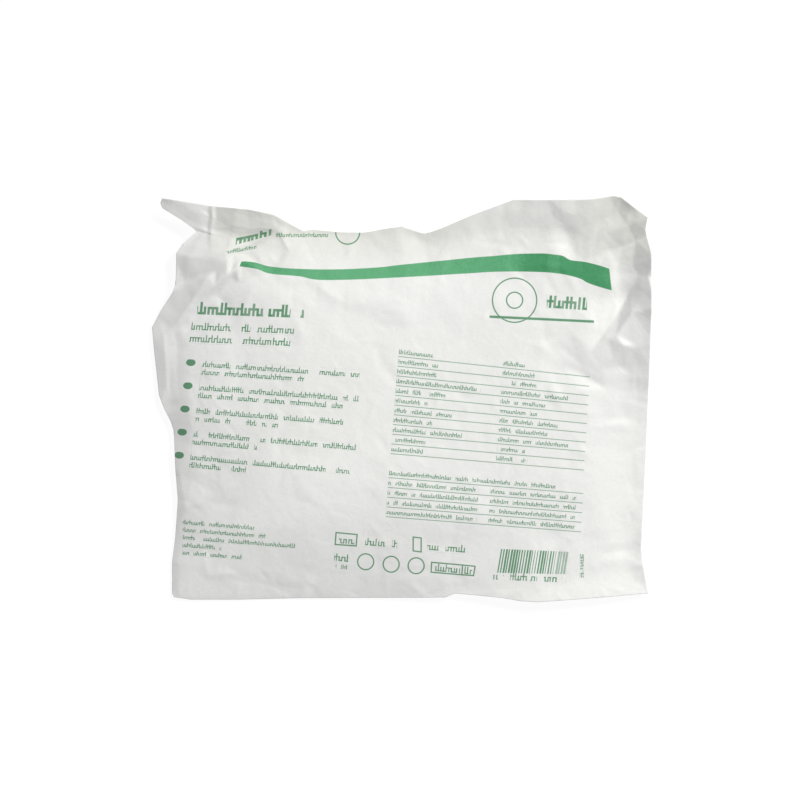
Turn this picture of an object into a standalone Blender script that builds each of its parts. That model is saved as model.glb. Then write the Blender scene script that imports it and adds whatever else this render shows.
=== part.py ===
"""Sealed paper pouch of a urine drainage bag, lying on its back with the printed web up.

Two webs of paper are heat-sealed all round over a folded leg bag and its tube. The
contents lift the front web into a low mound that rises on towards the upper right
corner, which stands up. The back web lies flat on whatever is under it, and the sealed
edge is pressed down along the foot of the pouch and on its left. The paper is stiff and
crumpled, so its folds are flat facets that meet in straight creases.

Frame: metres, +X to the right of the print, +Y to its head, +Z up. The origin is on the
flat spot that the pouch lies on, below the middle of its plan.
"""
import math

import bpy
import bmesh
import numpy as np
from mathutils import Vector
from mathutils.geometry import delaunay_2d_cdt

# Size of the pouch, edge to edge
POUCH_WIDTH = 0.2350
POUCH_HEIGHT = 0.1908

# Both webs in the seal, with the air that crumpled layers hold
SEALED_EDGE_THICKNESS = 0.0006

# Height of the sealed edge over the surface below, before it is bent up or down
SEAM_HEIGHT = 0.0090

# How far the contents lift the front web, how far they lift both webs at the upper right
# corner, and how far the back web would fall if free
CONTENTS_RISE = 0.0170
CORNER_LIFT = 0.0170
BACK_FALL = 0.0300

# Distance from each edge over which the front web climbs, where it is longest
LEFT_CLIMB = 0.1650
RIGHT_CLIMB = 0.0850
FOOT_CLIMB = 0.2400
HEAD_CLIMB = 0.1150

# Distance over which the back web comes down to the surface below
BACK_CLIMB = 0.0450

# Width of the flat sealed edge where it is widest, on each side
LEFT_FLANGE = 0.0070
RIGHT_FLANGE = 0.0130
FOOT_FLANGE = 0.0150
HEAD_FLANGE = 0.0190

# One step of the heights that go with the outline's and the creases' points
EDGE_STEP = 0.0010
CREASE_STEP = 0.0010

# Grid of each web, and how much it crowds towards the edges (0 is even)
COLUMNS = 66
ROWS = 54
CROWDING = 0.3

# How fast the edge's bends fade towards the middle, in plan and in height
PLAN_FADE = 3
HEIGHT_FADE = {"left": 7, "right": 5, "foot": 6, "head": 6}

# Plan points are on a drawing grid over the pouch: 500 steps across from the left edge,
# and 406 up from the foot. A third number is a height in EDGE_STEP or CREASE_STEP.
GRID_WIDTH = 500
GRID_HEIGHT = 406

FOOT = ((23, 5, -7.5), (40, 2.5, -7.5), (90, 2.5, -7.5), (150, 4, -7), (270, 4.5, -5.5), (295, 5, -5),
        (305, 9, -4.5), (323, 7.5, -4.2), (353, 4.5, -3.5), (370, 1.5, -3.5), (387, 0.5, -3.5),
        (417, 2.5, -3.5), (457, 5.5, -3.5), (498.5, 9, -3.5))
RIGHT = ((498.5, 9, -3.5), (492.5, 41, -3), (491.5, 55, -3), (493, 90, -2), (496, 156, -1),
         (498, 223, 4), (499.5, 303, 7), (499, 348, 8.5), (493, 372, 9), (495, 384, 9))
HEAD = ((12, 405, 6), (25, 403, 6), (61, 397, 7), (100, 393, 7), (124, 388, 7), (140, 379, 3),
        (153, 372, 0), (162, 373.5, -2), (190, 371, -3), (215, 370.5, -3), (230, 373.5, -3),
        (251, 376.5, -2), (265, 372, -1), (275, 369, 0), (290, 374, 2), (323, 388, 5),
        (363, 402.5, 8), (398, 402, 9), (437, 402, 9), (462, 405.5, 9), (469, 404, 9),
        (495, 384, 9))
LEFT = ((23, 5, -7.5), (21, 9, -7.5), (21, 40, -7.5), (24, 63, -7.5), (26.5, 96, -7.5), (27, 103, -7.5),
        (24.5, 133, -7), (23, 171, -6), (21, 179, -5), (13, 195, -4.5), (8, 208, -4.5), (3, 253, -4),
        (1, 276, -3.5), (10, 293, -2), (21.5, 310, 0), (25, 319, 1), (26, 350, 2), (33, 360, 2),
        (47, 372, 1), (30, 384, 2), (12, 395, 3), (10, 400, 4), (12, 405, 6))

# Broad folds, each a chain of points along one crest or valley
FOLDS = (
    # the top right corner stands up, with a gutter that runs into it from the collar
    ((385, 352, 0), (405, 345, 1.4), (435, 330, 2.4), (468, 318, 3), (510, 310, 3.4)),
    ((370, 390, 1), (405, 380, 2.6), (440, 372, 4.6), (475, 360, 5), (510, 350, 5.4)),
    ((390, 430, 5), (440, 430, 9.5), (510, 430, 12), (540, 400, 11), (540, 350, 8), (540, 300, 5)),
    ((421, 366, 1.8), (420, 356, 1.2)),
    # valley between the right flange and the face
    ((478, 306, 0), (470, 288, -1)),
    # slope at the foot of the knot
    ((72, 319, -0.3), (90, 321, -0.2), (102, 306, -0.8), (113, 300, -0.1)),
    # flap of the left flange, and the gutter between it and the face
    ((24, 268, 0.6), (23, 238, 0.8), (23, 203, 0.4)),
    ((32, 268, -0.8), (31, 238, -1), (32, 203, -0.6)),
    # streaks on the face
    ((180, 305, 0), (198, 302, 0.6), (228, 297, 1), (254, 283, 1), (262, 270, 0)),
    ((185, 296, 0), (215, 290, -0.6), (245, 279, -0.7), (258, 265, 0)),
    ((218, 170, 0), (222, 150, 0.7), (226, 125, 0)),
    # puckers at the right edge
    ((441, 209, 0.3), (455, 210, 0.9), (475, 208, 0.8), (500, 204, 0)),
    ((470, 183, 0), (485, 182, 0.7), (500, 183, 0)),
    ((466, 150, 0), (482, 147, 0.7), (500, 146, 0)),
    ((460, 98, 0), (480, 97, 0.6), (498, 99, 0)),
    ((403, 64, 0), (415, 62, 0.8), (435, 60, 0.9), (453, 60, 0)),
)

# Sharp creases, in the same way
CREASES = (
    # top right corner: a crest on the collar, and the shaded facet under the ear
    ((395, 403, 0), (410, 391, 0.9), (430, 381, 1), (440, 376, 0)),
    ((457, 367, -0.6), (478, 375, 1.4), (496, 382, 2.6)),
    ((425, 420, 0), (452, 412, 1.6), (478, 410, 3), (510, 400, 4.4)),
    ((457, 367, -0.6), (453, 351, -2), (475, 352, -2.4), (500, 353, -1.6)),
    ((439, 365, 0), (444, 372, 0.7), (448, 379, 0)),
    # kite below the right shoulder: a facet that rises to the crest at its upper right
    ((412, 237, -0.6), (438, 254, 0.8), (458, 264, 3.6), (473, 257, 4.6), (488, 256, 3.6), (502, 255, 3.4)),
    ((473, 257, 4.6), (458, 241, 2.2), (438, 229, -0.8), (412, 237, -0.6)),
    ((438, 229, -0.8), (436, 212, 0)),
    ((458, 241, 2.2), (470, 228, 1)),
    ((458, 264, 3.6), (474, 284, 3.4), (500, 290, 3.4)),
    # light streaks at the foot of the collar
    ((290, 373, 0), (320, 375, 0.5), (345, 377, 0.4), (362, 374, 0)),
    # tongue at the top left: a rounded roll, a shaded tip, and the pinch at its root
    ((13, 401, 0.2), (30, 398, 1.5), (50, 393, 1.7)),
    ((58, 395, 0.2), (58, 382, 0)),
    ((62, 395, 1), (62, 384, 1.2), (60, 374, 0.2)),
    ((67, 394, 0), (66, 382, -0.1)),
    # collar above the knot: a shaded facet that rises to the upper right
    ((66, 382, -0.1), (81, 374, 0.7), (78, 358, -1), (67, 363, -1.4), (66, 382, -0.1)),
    ((92, 357, -0.3), (115, 363, 0.3), (130, 368, 0)),
    # left shoulder: a light facet, a crest, and a shaded slope below it
    ((24, 350, 0.6), (50, 346, 1.5), (72, 342, 1.2)),
    ((22, 322, -0.6), (38, 322, -0.9), (53, 327, -0.8), (70, 331, -0.5)),
    # the knot: a light facet and a shaded one meet in a valley
    ((79, 350, -1), (83, 341, -1.5), (85, 334, -0.8)),
    ((94, 347, 0.4), (90, 338, 0.7), (87, 330, 0.5)),
    ((72, 342, 1.2), (76, 332, 0.6)),
    # slanting crests below the knot, and the gutter between them and the face
    ((25, 313, 0.7), (38, 318, 1.3), (45, 320, 0.2)),
    ((54, 322, 0.4), (48, 314, 1.5), (42, 302, 2), (30, 288, 1.8), (18, 275, 0.6)),
    ((64, 318, -0.4), (55, 302, -0.8), (43, 286, -0.8), (28, 270, -0.4)),
    ((60, 309, 0), (75, 320, 0.7), (84, 326, 0.9)),
    # steep wall of the lower left, and the ridge that starts from it
    ((22, 172, 0), (24, 160, 0.6), (28, 133, 1.6), (34, 98, 2.2), (30, 73, 1.6), (27, 43, 1.4), (28, 5, 1)),
    ((34, 98, 2.2), (55, 100, 1), (78, 101, 0)),
    # puckers at the foot
    ((74, 29, 0), (100, 30, 0.5), (126, 30, 0.6), (141, 34, 0)),
    ((88, 22, 0), (112, 18, -0.6), (126, 16, -0.7), (141, 24, 0)),
    ((155, 18, 0), (162, 16, -0.6), (168, 18, 0)),
    ((368, 24, 0), (371, 12, 0.9), (374, 2, 0.4)),
)

# Level points between the creases: a lattice, kept this far from every crease
LATTICE = 30
CLEAR_OF_CREASE = 22

PAPER_COLOUR = (0.86, 0.87, 0.84, 1.0)
PAPER_ROUGHNESS = 0.8


def plan(points):
    """Drawing-grid points as metres from the middle of the plan"""
    points = np.asarray(points, float)
    x = (points[..., 0] / GRID_WIDTH - 0.5) * POUCH_WIDTH
    y = (points[..., 1] / GRID_HEIGHT - 0.5) * POUCH_HEIGHT
    return np.stack([x, y], axis=-1)


def crowd(share):
    """An even share of a side, moved towards the side's nearer end"""
    return share - CROWDING * np.sin(2 * np.pi * share) / (2 * np.pi)


def side_at(side, share):
    """Plan place and edge height at a share of the way along one side of the outline"""
    place = plan(side)
    height = np.array([point[2] for point in side]) * EDGE_STEP
    length = np.concatenate([[0], np.cumsum(np.hypot(*np.diff(place, axis=0).T))])
    length /= length[-1]
    return np.stack([np.interp(share, length, column) for column in (*place.T, height)], axis=-1)


def edge_surface(s, t):
    """Surface spanned by the four sides

    The plan is the rectangle between the four corners, plus each side's departure from
    its straight line, which fades inwards. The height is only such departures, so it is
    zero a short way in. What two sides share at a corner is counted once.
    """
    share = {"left": 1 - s, "right": s, "foot": 1 - t, "head": t}
    near = {side: share[side][:, None] ** np.array([PLAN_FADE, PLAN_FADE, high])
            for side, high in HEIGHT_FADE.items()}
    flat = np.array([1, 1, 0])
    corner = {(a, b): side_at(side, float(b == "head" or b == "right"))
              for a, b, side in (("foot", "left", FOOT), ("foot", "right", FOOT),
                                 ("head", "left", HEAD), ("head", "right", HEAD))}

    def straight(start, end, share):
        return (start + (end - start) * share[:, None]) * flat

    foot_line = straight(corner["foot", "left"], corner["foot", "right"], s)
    head_line = straight(corner["head", "left"], corner["head", "right"], s)
    left_line = straight(corner["foot", "left"], corner["head", "left"], t)
    right_line = straight(corner["foot", "right"], corner["head", "right"], t)
    surface = foot_line + (head_line - foot_line) * t[:, None]
    surface += near["foot"] * (side_at(FOOT, s) - foot_line)
    surface += near["head"] * (side_at(HEAD, s) - head_line)
    surface += near["left"] * (side_at(LEFT, t) - left_line)
    surface += near["right"] * (side_at(RIGHT, t) - right_line)
    for (a, b), place in corner.items():
        surface -= near[a] * near[b] * place * (1 - flat)
    return surface


def climb(distance, flange, length, softness, levelling):
    """0 on the flange, 1 from the end of the climb on; softness over 1 starts gently"""
    share = np.clip((distance - flange) / length, 0, 1)
    return 1 - (1 - share ** softness) ** levelling


def mound(s, t):
    """Share of the contents' rise: a soft minimum of the climbs from the four edges

    Each flange and climb is given along its side as shares of its widest and longest,
    because the contents press against the seal in places and leave it free in others.
    The soft minimum is (sum of climb ^ -6) ^ (-1/6).
    """
    left = np.interp(t, (0, 0.4, 0.47, 0.7, 0.78, 1), (0, 0, 0.7, 1, 0.3, 0.6)) * LEFT_FLANGE
    right = np.interp(t, (0, 0.5, 0.63, 0.8, 1), (0.85, 0.35, 1, 0.85, 0.7)) * RIGHT_FLANGE
    foot = np.interp(s, (0, 0.5, 0.75, 1), (0, 0, 0.4, 1)) * FOOT_FLANGE
    head = np.interp(s, (0, 0.22, 0.3, 0.5, 0.6, 1), (1, 0.8, 0.15, 0.15, 0.6, 1)) * HEAD_FLANGE
    left_length = np.interp(t, (0, 0.2, 0.5, 1), (0.64, 0.76, 1, 1)) * LEFT_CLIMB
    right_length = np.interp(t, (0, 0.5, 0.63, 1), (1, 1, 0.6, 0.6)) * RIGHT_CLIMB
    foot_length = np.interp(s, (0, 0.5, 0.7, 1), (0.52, 0.56, 0.8, 1)) * FOOT_CLIMB
    head_length = np.interp(s, (0, 0.3, 0.4, 0.6, 0.85, 1), (1, 1, 0.8, 0.8, 0.52, 0.43)) * HEAD_CLIMB
    climbs = (climb(s * POUCH_WIDTH, left, left_length, 0.92, 2.6),
              climb((1 - s) * POUCH_WIDTH, right, right_length, 1.15, 2.8),
              climb(t * POUCH_HEIGHT, foot, foot_length, 1.0, 2.6),
              climb((1 - t) * POUCH_HEIGHT, head, head_length, 0.9, 2.6))
    return sum(np.maximum(part, 1e-4) ** -6 for part in climbs) ** (-1 / 6)


def belly(s, t):
    """Share of the back web's fall: it leaves the seal gently on all four sides"""
    return (climb(s * POUCH_WIDTH, 0, BACK_CLIMB, 1, 2) * climb((1 - s) * POUCH_WIDTH, 0, BACK_CLIMB, 1, 2)
            * climb(t * POUCH_HEIGHT, 0, BACK_CLIMB, 1, 2) * climb((1 - t) * POUCH_HEIGHT, 0, BACK_CLIMB, 1, 2))


def level_points(creases):
    """Lattice points that are clear of every crease, at height 0"""
    u, v = np.meshgrid(np.arange(-2 * LATTICE, GRID_WIDTH + 3 * LATTICE, LATTICE),
                       np.arange(-2 * LATTICE, GRID_HEIGHT + 3 * LATTICE, LATTICE))
    spot = np.stack([u.ravel(), v.ravel()], axis=1).astype(float)
    nearest = np.full(len(spot), np.inf)
    for chain in creases:
        for start, end in zip(np.array(chain)[:-1, :2], np.array(chain)[1:, :2]):
            run = end - start
            share = np.clip((spot - start) @ run / (run @ run), 0, 1)
            nearest = np.minimum(nearest, np.hypot(*(spot - start - share[:, None] * run).T))
    return [(a, b, 0.0) for a, b in spot[nearest > CLEAR_OF_CREASE]]


def crease_heights(creases, x, y):
    """Height of the crumpling at each place

    The creases and the level points are the corners of a constrained Delaunay net, so
    each crease is an edge of flat triangles, and a height is read off its triangle.
    """
    number, edges = {}, []
    for chain in (*creases, *([point] for point in level_points(creases))):
        row = [number.setdefault(point, len(number)) for point in chain]
        edges += zip(row[:-1], row[1:])
    corner = plan(np.array(list(number)))
    height = np.array([point[2] for point in number]) * CREASE_STEP
    # the net's own tolerance suits large scenes, so it is made in grid steps, not metres
    net = delaunay_2d_cdt([Vector(point[:2]) for point in number], edges, [], 0, 1e-4, True)
    origin = [first[0] for first in net[3]]
    result = np.zeros(len(x))
    for triangle in net[2]:
        a, b, c = (origin[index] for index in triangle)
        base = np.array([corner[b] - corner[a], corner[c] - corner[a]]).T
        along_b, along_c = np.linalg.solve(base, np.stack([x, y]) - corner[a][:, None])
        inside = (along_b >= -1e-6) & (along_c >= -1e-6) & (along_b + along_c <= 1 + 1e-6)
        value = height[a] + along_b * (height[b] - height[a]) + along_c * (height[c] - height[a])
        result[inside] = value[inside]
    return result


def web_surfaces(s, t):
    """Places of the front and the back web over the same plan"""
    x, y, edge = edge_surface(s, t).T
    lift = CORNER_LIFT * (s * t) ** 1.6
    sealed = SEAM_HEIGHT + edge + lift + crease_heights(FOLDS, x, y) + crease_heights(CREASES, x, y)
    front = sealed + (CONTENTS_RISE - lift) * mound(s, t)
    back = np.maximum(0, sealed - SEALED_EDGE_THICKNESS - BACK_FALL * belly(s, t))
    return np.stack([x, y, front], axis=1), np.stack([x, y, back], axis=1)


def add_web(cage, which):
    """A flat grid, split into triangles the same way in both webs, then moved into shape"""
    made = bmesh.ops.create_grid(cage, x_segments=COLUMNS, y_segments=ROWS, size=0.5)["verts"]
    faces = list({face for vert in made for face in vert.link_faces})
    bmesh.ops.triangulate(cage, faces=faces, quad_method="FIXED")
    share = crowd(np.array([vert.co.xy for vert in made]) + 0.5)
    places = web_surfaces(share[:, 0], share[:, 1])[which]
    for vert, place in zip(made, places):
        vert.co = place
    return made


def paper_material():
    """Matt white medical paper"""
    paper = bpy.data.materials.new("paper")
    paper.use_nodes = True
    shader = paper.node_tree.nodes["Principled BSDF"]
    shader.inputs["Base Color"].default_value = PAPER_COLOUR
    shader.inputs["Roughness"].default_value = PAPER_ROUGHNESS
    shader.inputs["Metallic"].default_value = 0.0
    return paper


def build_pouch(collection):
    """Both webs, joined all round by the thickness of the sealed edge"""
    cage = bmesh.new()
    add_web(cage, 0)
    back = add_web(cage, 1)
    bmesh.ops.bridge_loops(cage, edges=[edge for edge in cage.edges if edge.is_boundary])
    bmesh.ops.recalc_face_normals(cage, faces=cage.faces)
    # the part of the back web that lies flat becomes one face
    floor = {vert for vert in back if vert.co.z == 0}
    inner = [edge for edge in cage.edges if set(edge.verts) <= floor]
    bmesh.ops.dissolve_limit(cage, angle_limit=math.radians(0.01), verts=list(floor), edges=inner)
    mesh = bpy.data.meshes.new("sealed_pouch")
    cage.to_mesh(mesh)
    cage.free()
    mesh.materials.append(paper_material())
    mesh.shade_smooth()
    mesh.set_sharp_from_angle(angle=math.radians(30))
    collection.objects.link(bpy.data.objects.new("sealed_pouch", mesh))


def main():
    for old in list(bpy.data.objects):
        bpy.data.objects.remove(old)
    collection = bpy.data.collections.new("drainage_bag_pouch")
    bpy.context.scene.collection.children.link(collection)
    build_pouch(collection)


main()
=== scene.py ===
# %% [markdown]
# A sealed paper pouch with a folded drainage bag inside, seen from straight above. The
# part's frame gives its place and size: one closed solid, which carries collision and
# weight. This script makes the paper that is seen over it: a much finer skin with the
# same outline and the same mound, and with the creases of crumpled paper.

# %% Load the frame
import math

import bpy
import numpy as np
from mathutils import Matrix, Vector
from mathutils.geometry import delaunay_2d_cdt


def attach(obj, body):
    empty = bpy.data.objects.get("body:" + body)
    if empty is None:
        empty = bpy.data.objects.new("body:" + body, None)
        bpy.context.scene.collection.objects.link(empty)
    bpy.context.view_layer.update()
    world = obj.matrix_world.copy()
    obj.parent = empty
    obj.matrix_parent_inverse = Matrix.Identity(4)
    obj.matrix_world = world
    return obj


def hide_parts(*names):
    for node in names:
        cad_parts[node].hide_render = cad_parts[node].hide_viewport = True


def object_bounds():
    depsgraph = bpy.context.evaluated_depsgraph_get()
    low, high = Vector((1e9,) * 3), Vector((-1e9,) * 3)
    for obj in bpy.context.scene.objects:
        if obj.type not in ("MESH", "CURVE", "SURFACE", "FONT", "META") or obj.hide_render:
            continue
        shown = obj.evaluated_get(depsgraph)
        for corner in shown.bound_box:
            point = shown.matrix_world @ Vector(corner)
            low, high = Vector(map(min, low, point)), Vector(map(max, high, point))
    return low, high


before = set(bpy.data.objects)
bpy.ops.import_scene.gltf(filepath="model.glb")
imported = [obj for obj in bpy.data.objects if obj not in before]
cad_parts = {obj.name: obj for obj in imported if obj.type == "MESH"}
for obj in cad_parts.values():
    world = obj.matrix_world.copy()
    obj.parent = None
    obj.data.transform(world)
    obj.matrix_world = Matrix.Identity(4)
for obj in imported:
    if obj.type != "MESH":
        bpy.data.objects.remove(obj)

cad_low, cad_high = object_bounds()
print("solid from", [round(c, 4) for c in cad_low], "to", [round(c, 4) for c in cad_high])

# %% [markdown]
# Everything on the paper is placed on a drawing grid, 500 steps across and 406 up from
# the lower left corner of the pouch. One step is a bit under half a millimetre. The
# grid is laid over the solid's own box, so the skin can't drift away from it.

# %% The drawing grid
MM = 0.001
GRID_WIDTH, GRID_HEIGHT = 500, 406
LEFT_END, RIGHT_END = 1, 499.5       # where the outline meets the sides of the solid's box
FOOT_END, HEAD_END = 0.5, 405.5
STEP_ACROSS = (cad_high.x - cad_low.x) / (RIGHT_END - LEFT_END)
STEP_UP = (cad_high.y - cad_low.y) / (HEAD_END - FOOT_END)
POUCH_WIDTH = STEP_ACROSS * GRID_WIDTH
POUCH_HEIGHT = STEP_UP * GRID_HEIGHT


def plan(points):
    """Grid points as metres: each coordinate times its step, measured from the box's corner"""
    points = np.asarray(points, float)
    x = cad_low.x + (points[..., 0] - LEFT_END) * STEP_ACROSS
    y = cad_low.y + (points[..., 1] - FOOT_END) * STEP_UP
    return np.stack([x, y], axis=-1)


def to_grid(x, y):
    """The other way: metres as grid steps"""
    return (x - cad_low.x) / STEP_ACROSS + LEFT_END, (y - cad_low.y) / STEP_UP + FOOT_END


print("grid step", round(STEP_ACROSS / MM, 4), "x", round(STEP_UP / MM, 4), "mm")

# %% [markdown]
# The outline of the pouch is four bent sides. Each point has a third number, the height
# in millimetres to which the sealed edge is bent up or down there. The surface between
# the sides is a Coons patch: the rectangle between the corners, plus what each side
# departs from its straight line, fading inwards. The fade is slow in plan, so that the
# grid stays regular, and fast in height, so that only the rim is lifted.

# %% The outline and the surface that it spans
FOOT = ((23, 5, -7.5), (40, 2.5, -7.5), (90, 2.5, -7.5), (150, 4, -7), (270, 4.5, -5.5), (295, 5, -5),
        (305, 9, -4.5), (323, 7.5, -4.2), (353, 4.5, -3.5), (370, 1.5, -3.5), (387, 0.5, -3.5),
        (417, 2.5, -3.5), (457, 5.5, -3.5), (498.5, 9, -3.5))
RIGHT = ((498.5, 9, -3.5), (492.5, 41, -3), (491.5, 55, -3), (493, 90, -2), (496, 156, -1),
         (498, 223, 4), (499.5, 303, 7), (499, 348, 8.5), (493, 372, 9), (495, 384, 9))
HEAD = ((12, 405, 6), (25, 403, 6), (61, 397, 7), (100, 393, 7), (124, 388, 7), (140, 379, 3),
        (153, 372, 0), (162, 373.5, -2), (190, 371, -3), (215, 370.5, -3), (230, 373.5, -3),
        (251, 376.5, -2), (265, 372, -1), (275, 369, 0), (290, 374, 2), (323, 388, 5),
        (363, 402.5, 8), (398, 402, 9), (437, 402, 9), (462, 405.5, 9), (469, 404, 9),
        (495, 384, 9))
LEFT = ((23, 5, -7.5), (21, 9, -7.5), (21, 40, -7.5), (24, 63, -7.5), (26.5, 96, -7.5), (27, 103, -7.5),
        (24.5, 133, -6.7), (23, 171, -5.7), (21, 179, -5.4), (13, 195, -4.9), (8, 208, -4.6),
        (3, 253, -4), (1, 276, -3.5), (10, 293, -2), (21.5, 310, 0), (25, 319, 1), (26, 350, 2),
        (33, 360, 2), (47, 372, 1), (30, 384, 2), (12, 395, 3), (10, 400, 4), (12, 405, 6))
PLAN_FADE = 3
HEIGHT_FADE = {"left": 7, "right": 5, "foot": 6, "head": 6}
CROWDING = 0.3


def crowd(share):
    """Shares moved towards the nearer end: share - c sin(2 pi share) / 2 pi"""
    return share - CROWDING * np.sin(2 * np.pi * share) / (2 * np.pi)


def side_at(side, share):
    """Point at a share of the side's plan length, read between its corners"""
    place = plan(side)
    height = np.array([point[2] for point in side]) * MM
    length = np.concatenate([[0], np.cumsum(np.hypot(*np.diff(place, axis=0).T))])
    return np.stack([np.interp(share, length / length[-1], c) for c in (*place.T, height)], axis=-1)


def edge_surface(across, up):
    """Blend the straight rectangle with each side's departure times (1 - distance) ^ fade"""
    s, t = across[:, None, None], up[None, :, None]
    fade = {side: np.array([PLAN_FADE, PLAN_FADE, high]) for side, high in HEIGHT_FADE.items()}
    flat = np.array([1, 1, 0])
    near = {"left": (1 - s) ** fade["left"], "right": s ** fade["right"],
            "foot": (1 - t) ** fade["foot"], "head": t ** fade["head"]}
    corner = {("foot", "left"): side_at(FOOT, 0), ("foot", "right"): side_at(FOOT, 1),
              ("head", "left"): side_at(HEAD, 0), ("head", "right"): side_at(HEAD, 1)}

    def straight(start, end, share):
        return (corner[start] + (corner[end] - corner[start]) * share) * flat

    foot_line = straight(("foot", "left"), ("foot", "right"), s)
    head_line = straight(("head", "left"), ("head", "right"), s)
    left_line = straight(("foot", "left"), ("head", "left"), t)
    right_line = straight(("foot", "right"), ("head", "right"), t)
    surface = foot_line + (head_line - foot_line) * t
    surface = surface + near["foot"] * (side_at(FOOT, across)[:, None] - foot_line)
    surface += near["head"] * (side_at(HEAD, across)[:, None] - head_line)
    surface += near["left"] * (side_at(LEFT, up)[None] - left_line)
    surface += near["right"] * (side_at(RIGHT, up)[None] - right_line)
    for (a, b), place in corner.items():
        surface -= near[a] * near[b] * place * (1 - flat)
    return surface


# %% [markdown]
# The folded bag lifts the front web into a mound. Its section from each edge is a climb
# that starts at the end of the flat sealed flange and levels off, and the mound is the
# soft minimum of the four climbs. Flanges and climbs change along their edges. The back
# web leaves the seal in the same way, downwards, and stops on the floor.

# %% The mound of the contents
SEAM_HEIGHT = 9.0 * MM
SEALED_EDGE_THICKNESS = 0.35 * MM    # thinner than the solid's, nearer to two real webs
CONTENTS_RISE = 17.0 * MM
CORNER_LIFT, CORNER_FADE = 17.0 * MM, 1.6
BACK_FALL, BACK_CLIMB = 30.0 * MM, 45 * MM

# Widths of the flanges and lengths of the climbs in mm, each after its share of the edge
FLANGE = {"left": ((0, 0), (0.4, 0), (0.47, 5), (0.7, 7), (0.78, 2), (1, 4)),
          "right": ((0, 11), (0.5, 4.5), (0.63, 13), (0.8, 11), (1, 9)),
          "foot": ((0, 0), (0.5, 0), (0.75, 6), (1, 15)),
          "head": ((0, 19), (0.22, 15), (0.3, 3), (0.5, 3), (0.6, 11), (1, 19))}
CLIMB_LENGTH = {"left": ((0, 105), (0.2, 125), (0.5, 165), (1, 165)),
                "right": ((0, 85), (0.5, 85), (0.63, 50), (1, 50)),
                "foot": ((0, 124), (0.5, 135), (0.7, 190), (1, 240)),
                "head": ((0, 115), (0.3, 115), (0.4, 93), (0.6, 93), (0.85, 60), (1, 50))}
CLIMB_SHAPE = {"left": (0.92, 2.6), "right": (1.15, 2.8), "foot": (1.0, 2.6), "head": (0.9, 2.6)}
MEETING = 6                          # how sharply the climbs meet


def climb(distance, flange, length, softness, levelling):
    """1 - (1 - m ^ softness) ^ levelling, with m the share of the climb that is done"""
    share = np.clip((distance - flange) / length, 0, 1)
    return 1 - (1 - share ** softness) ** levelling


def from_edges(s, t):
    """For each edge, the distance from it and the share along it"""
    return {"left": (s * POUCH_WIDTH, t), "right": ((1 - s) * POUCH_WIDTH, t),
            "foot": (t * POUCH_HEIGHT, s), "head": ((1 - t) * POUCH_HEIGHT, s)}


def mound(s, t):
    """Soft minimum of the climbs from the four edges: (sum of climb ^ -6) ^ (-1/6)"""
    total = 0
    for side, (distance, share) in from_edges(s, t).items():
        flange, length = (np.interp(share, *zip(*table[side])) * MM for table in (FLANGE, CLIMB_LENGTH))
        total = total + np.maximum(climb(distance, flange, length, *CLIMB_SHAPE[side]), 1e-4) ** -MEETING
    return total ** (-1 / MEETING)


def corner_lift(s, t):
    """The contents push the upper right corner up: lift (s t)^1.6"""
    return CORNER_LIFT * (s * t) ** CORNER_FADE


def belly(s, t):
    """Product of four short climbs, for the back web's fall"""
    return math.prod(climb(distance, 0, BACK_CLIMB, 1, 2) for distance, _ in from_edges(s, t).values())


# %% [markdown]
# Paper doesn't bend two ways at once, so crumpled paper is a net of flat facets. Each
# crease is a chain of points along one crest or valley, with heights in millimetres
# over the smooth pouch. A constrained Delaunay net keeps each chain as an edge, and
# level points round about keep each crease local.

# %% The net of facets
LATTICE = 30                         # grid steps from one level point to the next
CLEAR_OF_CREASE = 22                 # grid steps round each crease that have none
HAIR = 1e-6                          # a point this far outside a triangle is still in it


def net_heights(number, edges, grid_u, grid_v):
    """Height over a triangle is its corners' heights, weighted by barycentric coordinates"""
    corner = np.array([point[:2] for point in number], float)
    height = np.array([point[2] for point in number], float)
    net = delaunay_2d_cdt([Vector(point[:2]) for point in number], edges, [], 0, 1e-4, True)
    place = np.array([vert[:] for vert in net[0]])
    lost = [index for index, first in enumerate(net[3]) if not first]
    assert not lost, f"creases cross near {[tuple(place[index].round(1)) for index in lost]}"
    first = np.array([origin[0] for origin in net[3]])
    result = np.zeros_like(grid_u)
    for triangle in net[2]:
        a, b, c = corner[first[list(triangle)]]
        (u0, v0), (u1, v1) = np.min([a, b, c], axis=0), np.max([a, b, c], axis=0)
        near = np.nonzero((grid_u >= u0) & (grid_u <= u1) & (grid_v >= v0) & (grid_v <= v1))
        offset = np.stack([grid_u[near] - a[0], grid_v[near] - a[1]])
        along_b, along_c = np.linalg.solve(np.array([b - a, c - a]).T, offset)
        inside = (along_b >= -HAIR) & (along_c >= -HAIR) & (along_b + along_c <= 1 + HAIR)
        ha, hb, hc = height[first[list(triangle)]]
        value = ha + along_b * (hb - ha) + along_c * (hc - ha)
        result[tuple(axis[inside] for axis in near)] = value[inside]
    return result * MM


def level_points(creases):
    """Lattice points that lie clear of every crease"""
    u, v = np.meshgrid(np.arange(-2 * LATTICE, GRID_WIDTH + 3 * LATTICE, LATTICE),
                       np.arange(-2 * LATTICE, GRID_HEIGHT + 3 * LATTICE, LATTICE))
    spot = np.stack([u.ravel(), v.ravel()], axis=1).astype(float)
    nearest = np.full(len(spot), np.inf)
    for chain in creases:
        for start, end in zip(np.array(chain)[:-1, :2], np.array(chain)[1:, :2]):
            run = end - start
            share = np.clip((spot - start) @ run / (run @ run), 0, 1)
            nearest = np.minimum(nearest, np.hypot(*(spot - start - share[:, None] * run).T))
    return [(a, b, 0.0) for a, b in spot[nearest > CLEAR_OF_CREASE]]


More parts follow.
